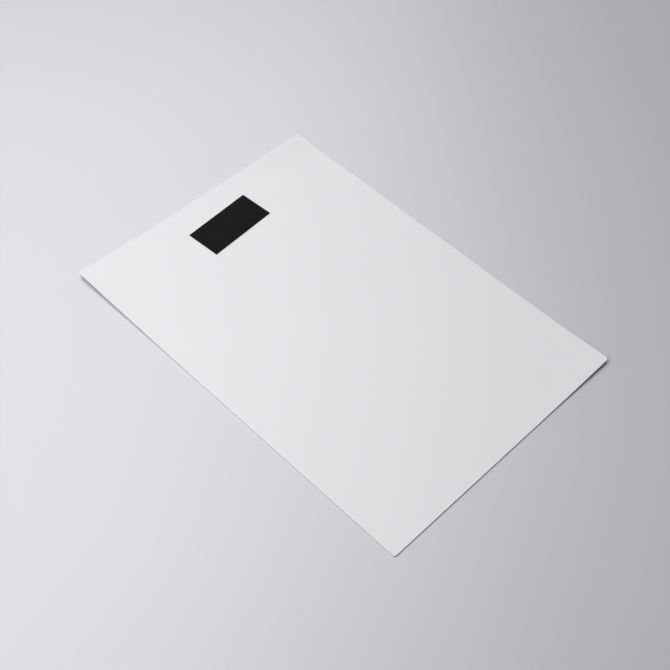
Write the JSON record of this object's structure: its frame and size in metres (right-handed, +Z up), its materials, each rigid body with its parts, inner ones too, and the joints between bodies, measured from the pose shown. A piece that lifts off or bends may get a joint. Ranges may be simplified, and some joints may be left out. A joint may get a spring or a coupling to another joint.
{
  "type": "flexible solar sheet",
  "caption": "Thin white-backed flexible photovoltaic laminate of A4 format, lying face down, with a black cover patch over the terminal near one short edge.",
  "frame": {"origin": "middle of the sun side, on the surface that the sheet lies on", "axes": "+Z up out of the white back, +Y along the sheet towards the end with the terminal patch, +X across the sheet"},
  "size_m": [0.21, 0.297, 0.0012],
  "materials": {
    "front_film": "clear, glossy",
    "encapsulant": "clear",
    "cell_sheet": "blue-black, satin",
    "tinned_copper": "tinned, satin",
    "edge_seal": "matt white",
    "back_sheet": "white, satin",
    "terminal_board": "amber film",
    "contact_pad": "bare copper",
    "diode": "moulded black",
    "patch_adhesive": "dull, tacky",
    "cover_patch": "matt black"
  },
  "bodies": {
    "terminal_end": {"front_film_terminal_end": "front_film", "front_encapsulant_terminal_end": "encapsulant", "cell_sheet_terminal_end": "cell_sheet", "bus_ribbon_positive_terminal_end": "tinned_copper", "bus_ribbon_negative_terminal_end": "tinned_copper", "rear_encapsulant_terminal_end": "encapsulant", "edge_seal_terminal_end": "edge_seal", "back_sheet_terminal_end": "back_sheet", "bus_lead_positive": "tinned_copper", "bus_lead_negative": "tinned_copper", "terminal_board": "terminal_board", "contact_pad_positive": "contact_pad", "contact_pad_negative": "contact_pad", "bypass_diode": "diode", "patch_adhesive": "patch_adhesive", "cover_patch": "cover_patch"},
    "span_1": {"front_film_span_1": "front_film", "front_encapsulant_span_1": "encapsulant", "cell_sheet_span_1": "cell_sheet", "bus_ribbon_positive_span_1": "tinned_copper", "bus_ribbon_negative_span_1": "tinned_copper", "rear_encapsulant_span_1": "encapsulant", "edge_seal_left_span_1": "edge_seal", "edge_seal_right_span_1": "edge_seal", "back_sheet_span_1": "back_sheet"},
    "span_2": {"front_film_span_2": "front_film", "front_encapsulant_span_2": "encapsulant", "cell_sheet_span_2": "cell_sheet", "bus_ribbon_positive_span_2": "tinned_copper", "bus_ribbon_negative_span_2": "tinned_copper", "rear_encapsulant_span_2": "encapsulant", "edge_seal_left_span_2": "edge_seal", "edge_seal_right_span_2": "edge_seal", "back_sheet_span_2": "back_sheet"},
    "span_3": {"front_film_span_3": "front_film", "front_encapsulant_span_3": "encapsulant", "cell_sheet_span_3": "cell_sheet", "bus_ribbon_positive_span_3": "tinned_copper", "bus_ribbon_negative_span_3": "tinned_copper", "rear_encapsulant_span_3": "encapsulant", "edge_seal_left_span_3": "edge_seal", "edge_seal_right_span_3": "edge_seal", "back_sheet_span_3": "back_sheet"},
    "span_4": {"front_film_span_4": "front_film", "front_encapsulant_span_4": "encapsulant", "cell_sheet_span_4": "cell_sheet", "bus_ribbon_positive_span_4": "tinned_copper", "bus_ribbon_negative_span_4": "tinned_copper", "rear_encapsulant_span_4": "encapsulant", "edge_seal_left_span_4": "edge_seal", "edge_seal_right_span_4": "edge_seal", "back_sheet_span_4": "back_sheet"},
    "free_end": {"front_film_free_end": "front_film", "front_encapsulant_free_end": "encapsulant", "cell_sheet_free_end": "cell_sheet", "bus_ribbon_positive_free_end": "tinned_copper", "bus_ribbon_negative_free_end": "tinned_copper", "rear_encapsulant_free_end": "encapsulant", "edge_seal_free_end": "edge_seal", "back_sheet_free_end": "back_sheet"}
  },
  "joints": [
    {"name": "bend_1", "type": "hinge", "parent": "terminal_end", "child": "span_1", "pos_m": [0, 0.0765, 0.00042], "axis": [-1, 0, 0], "range_deg": [0, 8.5], "stiffness_Nm_per_rad": 0.2},
    {"name": "bend_2", "type": "hinge", "parent": "span_1", "child": "span_2", "pos_m": [0, 0.0315, 0.00042], "axis": [-1, 0, 0], "range_deg": [0, 17], "stiffness_Nm_per_rad": 0.2},
    {"name": "bend_3", "type": "hinge", "parent": "span_2", "child": "span_3", "pos_m": [0, -0.0135, 0.00042], "axis": [-1, 0, 0], "range_deg": [0, 17], "stiffness_Nm_per_rad": 0.2},
    {"name": "bend_4", "type": "hinge", "parent": "span_3", "child": "span_4", "pos_m": [0, -0.0585, 0.00042], "axis": [-1, 0, 0], "range_deg": [0, 17], "stiffness_Nm_per_rad": 0.2},
    {"name": "bend_5", "type": "hinge", "parent": "span_4", "child": "free_end", "pos_m": [0, -0.1035, 0.00042], "axis": [-1, 0, 0], "range_deg": [0, 17], "stiffness_Nm_per_rad": 0.2}
  ],
  "couplings": [
    {"joint": "bend_2", "follows": "bend_1", "ratio": 2},
    {"joint": "bend_3", "follows": "bend_1", "ratio": 2},
    {"joint": "bend_4", "follows": "bend_1", "ratio": 2},
    {"joint": "bend_5", "follows": "bend_1", "ratio": 2}
  ]
}
